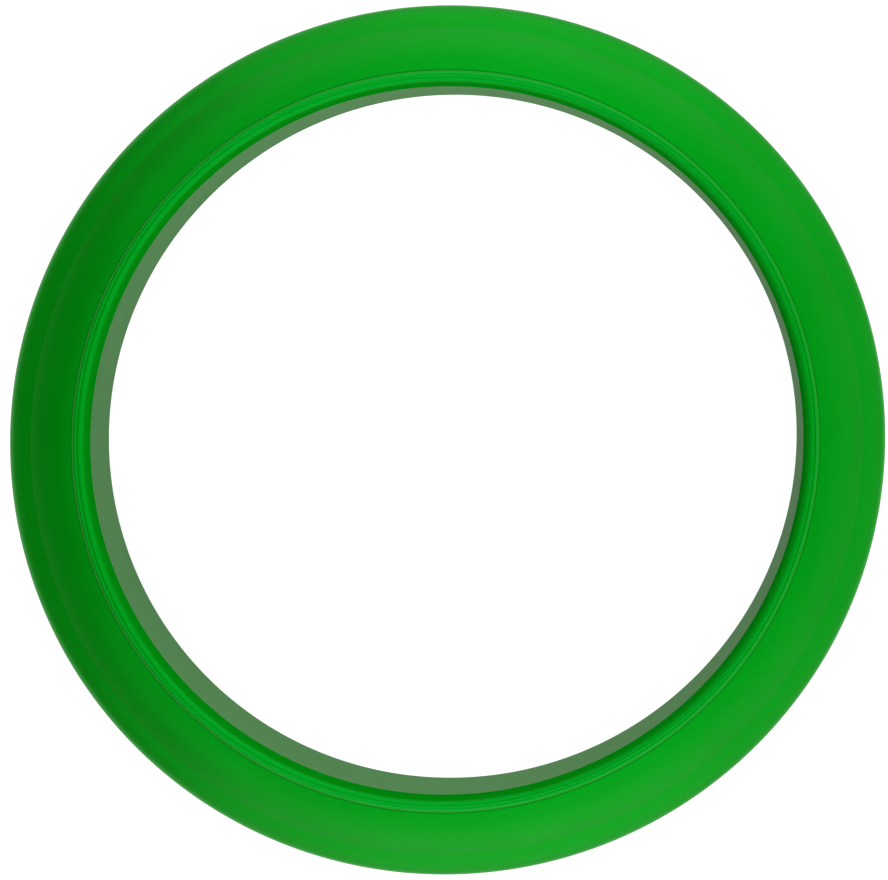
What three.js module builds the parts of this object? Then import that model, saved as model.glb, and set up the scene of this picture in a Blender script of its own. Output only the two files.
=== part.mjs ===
// A ring-shaped string dampener for a tennis racket, in millimetres, lying flat with its axis on +Z.
//
// Two string strands run past the ring on either side, seated in the groove around its outside.
// The pieces stack on a stiff hoop, and a clip at each end holds them together:
//
//   bore_liner   stiff hoop that keeps the soft pieces round, with a low rib around its middle
//   string_band  soft band over the rib, the bottom of the groove that the strings press on
//   front_ring   flange in front of the groove, hooked over the band's foot
//   rear_ring    flange behind the groove, with the flat land that the part rests on
//   front_bead   clip with two fine ribs, snapped onto the front end of the hoop
//   rear_bead    the same clip at the back, sunk a little below the rest land
//
// Every piece is a solid of revolution, drawn as a section of [radius, height] points.

import * as THREE from "three";

// Whole part
const outerRadius = 11.0;
const boreRadius = 8.87; // at the rear, where the hoop is narrowest
const thickness = 5.2;
const middle = thickness / 2;
const facets = 64;

// Groove for the strings
const grooveWidth = 1.4;
const grooveDepth = 0.8;
const grooveRootRadius = outerRadius - grooveDepth;
const grooveLipRound = 0.15;

// Hoop: its full outside carries the rings, its thinner ends carry the clips.
// The front end stops short of the face, so the front clip's lip reaches well into the bore.
const hoopRadius = 9.34;
const hoopMouthRadius = 8.95; // bore at the hoop's front end, opened out by the mould's draft
const hoopRibRadius = 9.52;
const hoopRibWidth = 0.5;
const spigotRadius = 9.12;
const spigotLength = 0.45;
const frontShoulder = 1.15; // from the middle of the part to where the spigot starts
const rearShoulder = 1.7;

// Snap groove around each spigot, and the hook of the clip that fills it
const hookRadius = 9.04;
const hookStart = 0.18; // from the shoulder
const hookEnd = 0.32;

// Band: its foot is wider than the groove, so the rings hold it down
const bandFootRadius = 9.75;
const bandFootWidth = 2.2;

// Front ring: sloping, slightly domed face, crease, rounded flank down to the widest point.
// Each bulge is the corner that a smooth curve between two of those points bends towards.
const faceInnerHeight = 5.1;
const faceBulge = [9.9, 4.93];
const creaseRadius = 10.43;
const creaseHeight = 4.5;
const flankBulge = [11.0, 4.2];
const widestHeight = 4.05;

// Both clips open as wide as the hoop's mouth, with a rounded edge into the bore
const clipOpening = 8.95;
const clipEdgeInset = 0.02;

// Front clip: foot, crests and valley of its two ribs
const clipShoulder = [9.29, 5.165];
const outerCrestRadius = 9.235;
const valleyRadius = 9.195;
const innerCrestRadius = 9.155;
const valleyDepth = 0.02;
const frontEdgeHeight = 4.92;

// Rear ring, and rear clip sunk a little below it
const landRadius = 10.3;
const rearFlankBulge = 0.4; // height of the bend in the rear flank
const rearClipRecess = 0.08;
const rearEdgeHeight = 0.22;

const green = { color: 0x0b9b1c, roughness: 0.45, metalness: 0 };
const clipGreen = { color: 0x14a528, roughness: 0.38, metalness: 0 };
const bandGreen = { color: 0x0a7d1a, roughness: 0.6, metalness: 0 };
const linerGreen = { color: 0x567f54, roughness: 0.55, metalness: 0 };

// Points on a quarter turn, or less, around a centre. Angles are in degrees from the outward radius.
function arc(centreRadius, centreHeight, radius, from, to, steps) {
  const points = [];
  for (let step = 0; step <= steps; step += 1) {
    const angle = THREE.MathUtils.degToRad(from + ((to - from) * step) / steps);
    points.push([centreRadius + radius * Math.cos(angle), centreHeight + radius * Math.sin(angle)]);
  }
  return points;
}

// Points on a smooth curve that bulges towards a control point, without its two ends.
function bulge(start, control, end, steps) {
  const curve = new THREE.QuadraticBezierCurve(
    new THREE.Vector2(...start),
    new THREE.Vector2(...control),
    new THREE.Vector2(...end),
  );
  const points = curve.getPoints(steps);
  return points.slice(1, -1).map((point) => [point.x, point.y]);
}

// The same section turned upside down about the middle of the part.
function flipped(points) {
  return points.map(([radius, height]) => [radius, thickness - height]).reverse();
}

// A ring with the given section, its corners listed anticlockwise with radius to the right.
// The seams between facets sit either side of X, so a flat facet faces straight along +X and -X.
function ring(name, section, look) {
  const outline = [...section, section[0]].map(([radius, height]) => new THREE.Vector2(radius, height));
  const geometry = new THREE.LatheGeometry(outline, facets, Math.PI / facets);
  geometry.rotateX(Math.PI / 2);
  const mesh = new THREE.Mesh(geometry, new THREE.MeshStandardMaterial(look));
  mesh.name = name;
  return mesh;
}

// Outside of one end of the hoop, from its shoulder to its tip: what the clip is shaped to.
function spigotOutline(shoulder) {
  const start = middle + shoulder;
  return [
    [hoopRadius, start],
    [spigotRadius, start],
    [spigotRadius, start + hookStart],
    [hookRadius, start + hookStart],
    [hookRadius, start + hookEnd],
    [spigotRadius, start + hookEnd],
    [spigotRadius, start + spigotLength],
  ];
}

function boreLiner() {
  const rib = [
    [hoopRadius, middle - hoopRibWidth / 2],
    [hoopRibRadius, middle - hoopRibWidth / 2],
    [hoopRibRadius, middle + hoopRibWidth / 2],
    [hoopRadius, middle + hoopRibWidth / 2],
  ];
  const bore = [
    [hoopMouthRadius, middle + frontShoulder + spigotLength],
    [boreRadius, middle - rearShoulder - spigotLength],
  ];
  const section = [
    ...flipped(spigotOutline(rearShoulder)),
    ...rib,
    ...spigotOutline(frontShoulder),
    ...bore,
  ];
  return ring("bore_liner", section, linerGreen);
}

function stringBand() {
  const neck = grooveWidth / 2;
  const foot = bandFootWidth / 2;
  const channel = hoopRibWidth / 2;
  const section = [
    [hoopRadius, middle - foot],
    [bandFootRadius, middle - foot],
    [bandFootRadius, middle - neck],
    [grooveRootRadius, middle - neck],
    [grooveRootRadius, middle + neck],
    [bandFootRadius, middle + neck],
    [bandFootRadius, middle + foot],
    [hoopRadius, middle + foot],
    [hoopRadius, middle + channel],
    [hoopRibRadius, middle + channel],
    [hoopRibRadius, middle - channel],
    [hoopRadius, middle - channel],
  ];
  return ring("string_band", section, bandGreen);
}

// Inside of a front flange, from the hoop out over the band's foot to the rounded lip of the groove.
function flangeInside() {
  const wall = middle + grooveWidth / 2;
  const lip = outerRadius - grooveLipRound;
  return [
    [hoopRadius, middle + bandFootWidth / 2],
    [bandFootRadius, middle + bandFootWidth / 2],
    [bandFootRadius, wall],
    [grooveRootRadius, wall],
    ...arc(lip, wall + grooveLipRound, grooveLipRound, -90, 0, 3),
  ];
}

function frontRing() {
  const widest = [outerRadius, widestHeight];
  const crease = [creaseRadius, creaseHeight];
  const faceInner = [hoopRadius, faceInnerHeight];
  const section = [
    ...flangeInside(),
    widest,
    ...bulge(widest, flankBulge, crease, 5),
    crease,
    ...bulge(crease, faceBulge, faceInner, 5),
    faceInner,
  ];
  return ring("front_ring", section, green);
}

function rearRing() {
  const widest = [outerRadius, widestHeight];
  const landEdge = [landRadius, thickness];
  const section = [
    ...flangeInside(),
    widest,
    ...bulge(widest, [outerRadius, thickness - rearFlankBulge], landEdge, 6),
    landEdge,
    [hoopRadius, thickness],
  ];
  return ring("rear_ring", flipped(section), green);
}

// A clip's inner side: it closes over the hoop's end and wraps the spigot down to the shoulder.
function clipInside(shoulder) {
  const tip = middle + shoulder + spigotLength;
  return [[clipOpening, tip], ...spigotOutline(shoulder).reverse()];
}

// The rounded edge from a clip's crest into its opening, listed from crest to edge.
function clipEdge(crest, edgeHeight) {
  const edge = [clipOpening, edgeHeight];
  const bend = [clipOpening + clipEdgeInset, crest[1] - clipEdgeInset];
  return [crest, ...bulge(crest, bend, edge, 5), edge];
}

function frontBead() {
  const section = [
    ...clipInside(frontShoulder),
    [hoopRadius, faceInnerHeight],
    clipShoulder,
    [outerCrestRadius, thickness],
    [valleyRadius, thickness - valleyDepth],
    ...clipEdge([innerCrestRadius, thickness], frontEdgeHeight),
  ];
  return ring("front_bead", section, clipGreen);
}

function rearBead() {
  const back = thickness - rearClipRecess;
  const section = [
    ...clipInside(rearShoulder),
    [hoopRadius, back],
    ...clipEdge([innerCrestRadius, back], thickness - rearEdgeHeight),
  ];
  return ring("rear_bead", flipped(section), clipGreen);
}

const dampener = new THREE.Group();
dampener.add(boreLiner(), stringBand(), frontRing(), rearRing(), frontBead(), rearBead());

export default dampener;
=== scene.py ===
# A ring-shaped racket string dampener, lying flat on a pale floor under soft studio light.
# Lengths are in millimetres and turned into metres when a mesh, a light or the camera is placed.
import math

import bmesh
import bpy
from mathutils import Matrix, Vector


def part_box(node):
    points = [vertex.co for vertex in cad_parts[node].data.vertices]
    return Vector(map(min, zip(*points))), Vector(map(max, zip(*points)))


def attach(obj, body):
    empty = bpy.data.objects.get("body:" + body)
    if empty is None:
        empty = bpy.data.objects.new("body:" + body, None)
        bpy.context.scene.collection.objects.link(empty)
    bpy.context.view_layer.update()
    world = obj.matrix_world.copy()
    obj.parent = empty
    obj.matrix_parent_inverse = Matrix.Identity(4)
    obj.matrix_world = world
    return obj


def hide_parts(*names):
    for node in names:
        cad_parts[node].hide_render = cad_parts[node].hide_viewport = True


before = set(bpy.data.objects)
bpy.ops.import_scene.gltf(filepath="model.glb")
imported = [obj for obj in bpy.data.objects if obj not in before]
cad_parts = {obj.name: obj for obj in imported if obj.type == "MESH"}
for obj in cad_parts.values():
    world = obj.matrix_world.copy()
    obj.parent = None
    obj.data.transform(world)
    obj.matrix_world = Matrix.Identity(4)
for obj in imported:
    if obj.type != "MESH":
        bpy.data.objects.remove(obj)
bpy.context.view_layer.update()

MM = 0.001

# Turned meshes: steps round the axis, on each rounded corner and on each curve
STEPS_ROUND = 384
ROUND_STEPS = 7
EDGE_STEPS = 12
CURVE_STEPS = 18

# Length of the short flat on either side of a rounded corner, which keeps its shading to itself
HOLD = 0.012

# The soft ring isn't quite round: its long way lies this far round from X
OUT_OF_ROUND = 0.0057
LONG_WAY = math.radians(25)

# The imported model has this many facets, and its box reaches the middle of a facet on X
FACETS = 64
FACET_TO_CIRCLE = math.cos(math.pi / FACETS)


def node_radius(node):
    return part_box(node)[1][0] / MM / FACET_TO_CIRCLE


def node_heights(node):
    low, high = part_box(node)
    return low[2] / MM, high[2] / MM


# Driving sizes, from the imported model
outer_radius = node_radius("front_ring")
root_radius = node_radius("string_band")
hoop_radius = node_radius("front_bead")
top = node_heights("front_bead")[1]
middle = top / 2
front_wall = node_heights("front_ring")[0]
rear_wall = node_heights("rear_ring")[1]
hoop_low, hoop_high = node_heights("bore_liner")
clip_skirt = node_heights("front_bead")[0]
rear_clip_low, rear_clip_skirt = node_heights("rear_bead")
band_low, band_high = node_heights("string_band")

# Hoop and band
BORE_RADIUS = 8.87
MOUTH_RADIUS = 8.95
SPIGOT_RADIUS = 9.12
FOOT_RADIUS = 9.75
RIB_RADIUS = 9.52
RIB_HALF = 0.25

# Gap between neighbouring pieces, and the rounds on their corners
SEAM = 0.002
EDGE_ROUND = 0.001
HOOP_ROUND = 0.02
FOOT_ROUND = 0.03
HOOP_END_ROUND = 0.04
LAND_ROUND = 0.05
ROOT_ROUND = 0.08
LIP_ROUND = 0.14

# Both flanges: the wall of the groove starts this far outside its root, clear of the root's round
WALL_START = 0.1

# Front ring: face, crease and flank. A bend is the corner that a curve leans towards, and the
# flanks' bends are heights at the outer radius.
FACE_INNER = 5.1
FACE_BEND = (9.9, 4.93)
CREASE_RADIUS = 10.43
CREASE_HEIGHT = 4.5
CREASE_ROUND = 0.4
FLANK_BEND = 4.2
WIDEST_HEIGHT = 4.05

# Rear ring
LAND_RADIUS = 10.3
REAR_FLANK_BEND = 0.4

# Clips: the radii of the opening, shoulder, crests and valley, and the heights at which the
# rounded edges reach the opening
CLIP_OPENING = 8.95
CLIP_SHOULDER = (9.29, 5.165)
SHOULDER_ROUND = 0.03
OUTER_CREST = 9.235
VALLEY = 9.195
INNER_CREST = 9.155
CREST_ROUND = 0.016
VALLEY_ROUND = 0.012
VALLEY_DEPTH = 0.02
EDGE_INSET = 0.02
BORE_EDGE = 4.92
REAR_EDGE = 0.22
REAR_CLIP_ROUND = 0.04


# ---------------------------------------------------------------- sections

def rounded(corners):
    """Turn (radius, height, round) corners of a closed outline into points, each corner rounded."""
    points = []
    count = len(corners)
    for index, (radius, height, size) in enumerate(corners):
        corner = Vector((radius, height))
        before = Vector(corners[index - 1][:2]) - corner
        after = Vector(corners[(index + 1) % count][:2]) - corner
        if size == 0:
            points.append(corner)
            continue
        half = before.angle(after) / 2
        before.normalize()
        after.normalize()
        reach = size / math.tan(half)
        start = corner + before * reach
        end = corner + after * reach
        centre = corner + (before + after).normalized() * (size / math.sin(half))
        points.append(start + before * HOLD)
        for step in range(ROUND_STEPS + 1):
            arm = (start - centre).slerp(end - centre, step / ROUND_STEPS)
            points.append(centre + arm.normalized() * size)
        points.append(end + after * HOLD)
    return points


def curve(start, control, end, steps):
    """Points on a quadratic curve, ends left out, as corners with no rounding."""
    corners = []
    for step in range(1, steps):
        share = step / steps
        from_start = (1 - share) ** 2
        from_control = 2 * share * (1 - share)
        from_end = share ** 2
        radius = from_start * start[0] + from_control * control[0] + from_end * end[0]
        height = from_start * start[1] + from_control * control[1] + from_end * end[1]
        corners.append((radius, height, 0))
    return corners


def loop_at(work, angle, points):
    """One copy of the section, as vertices, at an angle round the axis."""
    stretch = 1 + OUT_OF_ROUND * math.cos(2 * (angle - LONG_WAY))
    loop = []
    for radius, height in points:
        reach = radius * stretch * MM
        loop.append(work.verts.new((reach * math.cos(angle), reach * math.sin(angle), height * MM)))
    return loop


def turned(name, points):
    """A closed ring mesh with the given section, slightly out of round."""
    mesh = bpy.data.meshes.new(name)
    work = bmesh.new()
    loops = [loop_at(work, 2 * math.pi * step / STEPS_ROUND, points) for step in range(STEPS_ROUND)]
    for step in range(STEPS_ROUND):
        here = loops[step]
        there = loops[(step + 1) % STEPS_ROUND]
        for index in range(len(points)):
            following = (index + 1) % len(points)
            work.faces.new((here[index], there[index], there[following], here[following]))
    bmesh.ops.recalc_face_normals(work, faces=work.faces)
    for face in work.faces:
        face.smooth = True
    work.to_mesh(mesh)
    work.free()
    piece = bpy.data.objects.new(name, mesh)
    bpy.context.scene.collection.objects.link(piece)
    return piece


def place(piece, node, material):
    piece.data.materials.append(material)
    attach(piece, "root")
    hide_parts(node)


# ---------------------------------------------------------------- materials

# Noise scales are per metre, and grain depths are in metres. The noise between low and high is
# used, and the roughness strays by the satin spread either way.
DRIFT_SCALE = 420
DRIFT_DETAIL = 3
PATCH_SCALE = 900
PATCH_DETAIL = 2
GRAIN_DETAIL = 2
NOISE_LOW = 0.2
NOISE_HIGH = 0.8
SATIN_SPREAD = 0.015

# Heights between which the clips' crests turn from matt to glossy
MATT_BELOW = 5.12
GLOSSY_ABOVE = 5.19


def principled(name):
    material = bpy.data.materials.new(name)
    material.use_nodes = True
    return material, material.node_tree.nodes["Principled BSDF"]


def noise(tree, scale, detail):
    where = tree.nodes.new("ShaderNodeTexCoord")
    texture = tree.nodes.new("ShaderNodeTexNoise")
    texture.inputs["Scale"].default_value = scale
    texture.inputs["Detail"].default_value = detail
    tree.links.new(where.outputs["Object"], texture.inputs["Vector"])
    return texture.outputs["Fac"]


def ramp_colour(tree, factor, low, high):
    ramp = tree.nodes.new("ShaderNodeValToRGB")
    ramp.color_ramp.elements[0].position = NOISE_LOW
    ramp.color_ramp.elements[0].color = (*low, 1)
    ramp.color_ramp.elements[1].position = NOISE_HIGH
    ramp.color_ramp.elements[1].color = (*high, 1)
    tree.links.new(factor, ramp.inputs["Fac"])
    return ramp.outputs["Color"]


def ranged(tree, value, span_from, span_to):
    span = tree.nodes.new("ShaderNodeMapRange")
    span.inputs["From Min"].default_value = span_from[0]
    span.inputs["From Max"].default_value = span_from[1]
    span.inputs["To Min"].default_value = span_to[0]
    span.inputs["To Max"].default_value = span_to[1]
    tree.links.new(value, span.inputs["Value"])
    return span.outputs["Result"]


def moulded(name, dark, light, rough, gloss, tint, grain_scale, grain_depth):
    """A moulded surface: slow colour drift, uneven satin and a fine grain."""
    material, shader = principled(name)
    tree = material.node_tree
    drift = noise(tree, DRIFT_SCALE, DRIFT_DETAIL)
    tree.links.new(ramp_colour(tree, drift, dark, light), shader.inputs["Base Color"])
    patch = noise(tree, PATCH_SCALE, PATCH_DETAIL)
    satin = (rough - SATIN_SPREAD, rough + SATIN_SPREAD)
    tree.links.new(ranged(tree, patch, (NOISE_LOW, NOISE_HIGH), satin), shader.inputs["Roughness"])
    grain = noise(tree, grain_scale, GRAIN_DETAIL)
    bump = tree.nodes.new("ShaderNodeBump")
    bump.inputs["Strength"].default_value = 1
    bump.inputs["Distance"].default_value = grain_depth
    tree.links.new(grain, bump.inputs["Height"])
    tree.links.new(bump.outputs["Normal"], shader.inputs["Normal"])
    shader.inputs["Specular IOR Level"].default_value = gloss
    shader.inputs["Specular Tint"].default_value = (*tint, 1)
    return material


def polish_crests(material, gloss):
    """Make a moulded material matt low down and glossy at the crests."""
    tree = material.node_tree
    where = tree.nodes.new("ShaderNodeTexCoord")
    split = tree.nodes.new("ShaderNodeSeparateXYZ")
    tree.links.new(where.outputs["Object"], split.inputs["Vector"])
    polish = ranged(tree, split.outputs["Z"], (MATT_BELOW * MM, GLOSSY_ABOVE * MM), (0, gloss))
    tree.links.new(polish, tree.nodes["Principled BSDF"].inputs["Specular IOR Level"])


def green_elastomer():
    return moulded(
        "green_elastomer",
        dark=(0, 0.158, 0.002),
        light=(0, 0.168, 0.003),
        rough=0.3,
        gloss=0.95,
        tint=(0, 1, 0.04),
        grain_scale=9000,
        grain_depth=0.000001,
    )


def green_clip():
    material = moulded(
        "green_clip",
        dark=(0, 0.19, 0.003),
        light=(0, 0.2, 0.004),
        rough=0.3,
        gloss=0,
        tint=(0, 1, 0.1),
        grain_scale=9000,
        grain_depth=0.000001,
    )
    polish_crests(material, 1)
    return material


def green_band():
    return moulded(
        "green_band",
        dark=(0, 0.22, 0.004),
        light=(0.001, 0.25, 0.006),
        rough=0.6,
        gloss=0.5,
        tint=(0.4, 1, 0.4),
        grain_scale=6000,
        grain_depth=0.000003,
    )


def grey_green_liner():
    return moulded(
        "grey_green_liner",
        dark=(0.038, 0.16, 0.033),
        light=(0.042, 0.17, 0.037),
        rough=0.6,
        gloss=0.04,
        tint=(0.5, 1, 0.5),
        grain_scale=7000,
        grain_depth=0.000002,
    )


# ---------------------------------------------------------------- pieces

def flange_inside(foot, wall, direction):
    """Inner side of a flange, from the hoop over the band's foot to the lip of the groove."""
    return [
        (hoop_radius + SEAM, foot, FOOT_ROUND),
        (FOOT_RADIUS + SEAM, foot, FOOT_ROUND),
        (FOOT_RADIUS + SEAM, wall + direction * SEAM, FOOT_ROUND),
        (root_radius + WALL_START, wall, 0),
        (outer_radius, wall, LIP_ROUND),
    ]


def front_ring(material):
    widest = (outer_radius, WIDEST_HEIGHT)
    crease = (CREASE_RADIUS, CREASE_HEIGHT)
    inner = (hoop_radius + SEAM, FACE_INNER)
    corners = flange_inside(band_high, front_wall, 1)
    corners += [(*widest, 0)]
    corners += curve(widest, (outer_radius, FLANK_BEND), crease, CURVE_STEPS)
    corners += [(*crease, CREASE_ROUND)]
    corners += curve(crease, FACE_BEND, inner, CURVE_STEPS)
    corners += [(*inner, EDGE_ROUND)]
    place(turned("front_ring_moulding", rounded(corners)), "front_ring", material)


def rear_ring(material):
    widest = (outer_radius, top - WIDEST_HEIGHT)
    land = (LAND_RADIUS, 0)
    corners = flange_inside(band_low, rear_wall, -1)
    corners += [(*widest, 0)]
    corners += curve(widest, (outer_radius, REAR_FLANK_BEND), land, CURVE_STEPS)
    corners += [(*land, LAND_ROUND), (hoop_radius + SEAM, 0, LAND_ROUND)]
    place(turned("rear_ring_moulding", rounded(corners)), "rear_ring", material)


def string_band(material):
    corners = [
        (hoop_radius, band_low + SEAM, FOOT_ROUND),
        (FOOT_RADIUS, band_low + SEAM, FOOT_ROUND),
        (FOOT_RADIUS, rear_wall + SEAM, FOOT_ROUND),
        (root_radius, rear_wall + SEAM, ROOT_ROUND),
        (root_radius, front_wall - SEAM, ROOT_ROUND),
        (FOOT_RADIUS, front_wall - SEAM, FOOT_ROUND),
        (FOOT_RADIUS, band_high - SEAM, FOOT_ROUND),
        (hoop_radius, band_high - SEAM, FOOT_ROUND),
        (hoop_radius, middle + RIB_HALF, 0),
        (RIB_RADIUS, middle + RIB_HALF, 0),
        (RIB_RADIUS, middle - RIB_HALF, 0),
        (hoop_radius, middle - RIB_HALF, 0),
    ]
    place(turned("string_band_moulding", rounded(corners)), "string_band", material)


def bore_liner(material):
    shoulder_low = rear_clip_skirt - SEAM
    shoulder_high = clip_skirt + SEAM
    corners = [
        (BORE_RADIUS, hoop_low, HOOP_END_ROUND),
        (SPIGOT_RADIUS - SEAM, hoop_low, HOOP_END_ROUND),
        (SPIGOT_RADIUS - SEAM, shoulder_low, 0),
        (hoop_radius - SEAM, shoulder_low, HOOP_ROUND),
        (hoop_radius - SEAM, middle - RIB_HALF + SEAM, 0),
        (RIB_RADIUS - SEAM, middle - RIB_HALF + SEAM, HOOP_ROUND),
        (RIB_RADIUS - SEAM, middle + RIB_HALF - SEAM, HOOP_ROUND),
        (hoop_radius - SEAM, middle + RIB_HALF - SEAM, 0),
        (hoop_radius - SEAM, shoulder_high, HOOP_ROUND),
        (SPIGOT_RADIUS - SEAM, shoulder_high, 0),
        (SPIGOT_RADIUS - SEAM, hoop_high, HOOP_END_ROUND),
        (MOUTH_RADIUS, hoop_high, EDGE_ROUND),
    ]
    place(turned("bore_liner_hoop", rounded(corners)), "bore_liner", material)


def clip_inside(tip, skirt, inward):
    """Inner side of a clip, over the hoop's end and down its spigot. inward is the way to the middle."""
    return [
        (CLIP_OPENING, tip, EDGE_ROUND),
        (SPIGOT_RADIUS, tip, 0),
        (SPIGOT_RADIUS, skirt - inward * SEAM, 0),
        (hoop_radius - SEAM, skirt - inward * SEAM, 0),
    ]


def clip_edge(crest, inset, edge_height):
    """The rounded edge from a clip's crest into its opening."""
    edge = (CLIP_OPENING, edge_height)
    bend = (CLIP_OPENING + EDGE_INSET, crest[1] - inset)
    return [*curve(crest, bend, edge, EDGE_STEPS), (*edge, 0)]


def front_bead(material):
    crest = (INNER_CREST, top)
    corners = clip_inside(hoop_high + SEAM, clip_skirt, -1)
    corners += [
        (hoop_radius - SEAM, FACE_INNER, EDGE_ROUND),
        (*CLIP_SHOULDER, SHOULDER_ROUND),
        (OUTER_CREST, top, CREST_ROUND),
        (VALLEY, top - VALLEY_DEPTH, VALLEY_ROUND),
        (*crest, CREST_ROUND),
    ]
    corners += clip_edge(crest, EDGE_INSET, BORE_EDGE)
    place(turned("front_bead_clip", rounded(corners)), "front_bead", material)


def rear_bead(material):
    crest = (INNER_CREST, rear_clip_low)
    corners = clip_inside(hoop_low - SEAM, rear_clip_skirt, 1)
    corners += [
        (hoop_radius - SEAM, rear_clip_low, REAR_CLIP_ROUND),
        (*crest, 0),
    ]
    corners += clip_edge(crest, -EDGE_INSET, REAR_EDGE)
    place(turned("rear_bead_clip", rounded(corners)), "rear_bead", material)


# ---------------------------------------------------------------- floor, lights and camera

# A pale sheet lit from within, a hair below the rest land so that the two don't coincide
FLOOR_HALF = 400
FLOOR_LEVEL = -0.01
FLOOR_SHADE = 0.25
FLOOR_ROUGHNESS = 0.9
FLOOR_GLOSS = 0.1
FLOOR_GLOW = 0.95

# Rows of small softboxes wrap round the ring, brightest at either side and open on the left.
# Each row has its elevation, its level all round, the extra level at the sides, and the azimuth
# from +X where it ends. Levels are in watts, and angles are in degrees.
ROWS = (
    (15, 0.028, 0.038, 115),
    (35, 0.030, 0.028, 140),
    (58, 0.016, 0.038, 180),
)
BOX_SPACING = 22.5
SIDE_AZIMUTH = 80
SIDE_SPREAD = 35
BOX_DISTANCE = 250
BOX_SIZE = 120
WORLD_STRENGTH = 0.02

CAMERA_HEIGHT = 135.05
CAMERA_OFFSET = (5.45, 3.9)
AIM = (-0.053, 0.024, WIDEST_HEIGHT)
LENS = 211.03
SENSOR_WIDTH = 36
CLIP_START = 10
CLIP_END = 10000


def white(shade):
    return (shade, shade, shade, 1)


def stage_floor():
    mesh = bpy.data.meshes.new("floor")
    low = -FLOOR_HALF * MM
    high = FLOOR_HALF * MM
    level = FLOOR_LEVEL * MM
    corners = [(low, low, level), (high, low, level), (high, high, level), (low, high, level)]
    mesh.from_pydata(corners, [], [(0, 1, 2, 3)])
    floor = bpy.data.objects.new("floor", mesh)
    bpy.context.scene.collection.objects.link(floor)
    material, shader = principled("floor_paper")
    shader.inputs["Base Color"].default_value = white(FLOOR_SHADE)
    shader.inputs["Roughness"].default_value = FLOOR_ROUGHNESS
    shader.inputs["Specular IOR Level"].default_value = FLOOR_GLOSS
    shader.inputs["Emission Color"].default_value = white(1)
    shader.inputs["Emission Strength"].default_value = FLOOR_GLOW
    mesh.materials.append(material)


def add_box(azimuth, elevation, power):
    """One round softbox, facing the middle of the ring."""
    turn = math.radians(azimuth)
    rise = math.radians(elevation)
    way = Vector((math.cos(rise) * math.cos(turn), math.cos(rise) * math.sin(turn), math.sin(rise)))
    data = bpy.data.lights.new("softbox", "AREA")
    data.shape = "DISK"
    data.size = BOX_SIZE * MM
    data.energy = power
    lamp = bpy.data.objects.new("softbox", data)
    lamp.location = way * BOX_DISTANCE * MM
    lamp.rotation_euler = way.to_track_quat("Z", "Y").to_euler()
    bpy.context.scene.collection.objects.link(lamp)


def add_row(elevation, level, side_level, last_azimuth):
    for step in range(int(last_azimuth / BOX_SPACING) + 1):
        azimuth = step * BOX_SPACING
        swell = math.exp(-((azimuth - SIDE_AZIMUTH) / SIDE_SPREAD) ** 2)
        power = level + side_level * swell
        add_box(azimuth, elevation, power)
        if 0 < azimuth < 180:
            add_box(-azimuth, elevation, power)


def add_lights():
    for row in ROWS:
        add_row(*row)
    world = bpy.data.worlds.new("studio")
    world.use_nodes = True
    background = world.node_tree.nodes["Background"]
    background.inputs["Color"].default_value = white(1)
    background.inputs["Strength"].default_value = WORLD_STRENGTH
    bpy.context.scene.world = world


def add_camera():
    """A camera almost straight above the ring, with +Y up in the picture."""
    data = bpy.data.cameras.new("camera")
    data.sensor_width = SENSOR_WIDTH
    data.lens = LENS
    data.clip_start = CLIP_START * MM
    data.clip_end = CLIP_END * MM
    camera = bpy.data.objects.new("camera", data)
    camera.location = Vector((*CAMERA_OFFSET, CAMERA_HEIGHT)) * MM
    back = (camera.location - Vector(AIM) * MM).normalized()
    right = Vector((0, 1, 0)).cross(back).normalized()
    up = back.cross(right)
    camera.rotation_euler = Matrix((right, up, back)).transposed().to_euler()
    bpy.context.scene.collection.objects.link(camera)
    bpy.context.scene.camera = camera


# The plain view transform keeps the saturated green
bpy.context.scene.view_settings.view_transform = "Standard"

ring_material = green_elastomer()
clip_material = green_clip()
band_material = green_band()
liner_material = grey_green_liner()

stage_floor()
add_lights()
add_camera()
bore_liner(liner_material)
string_band(band_material)
front_ring(ring_material)
rear_ring(ring_material)
front_bead(clip_material)
rear_bead(clip_material)
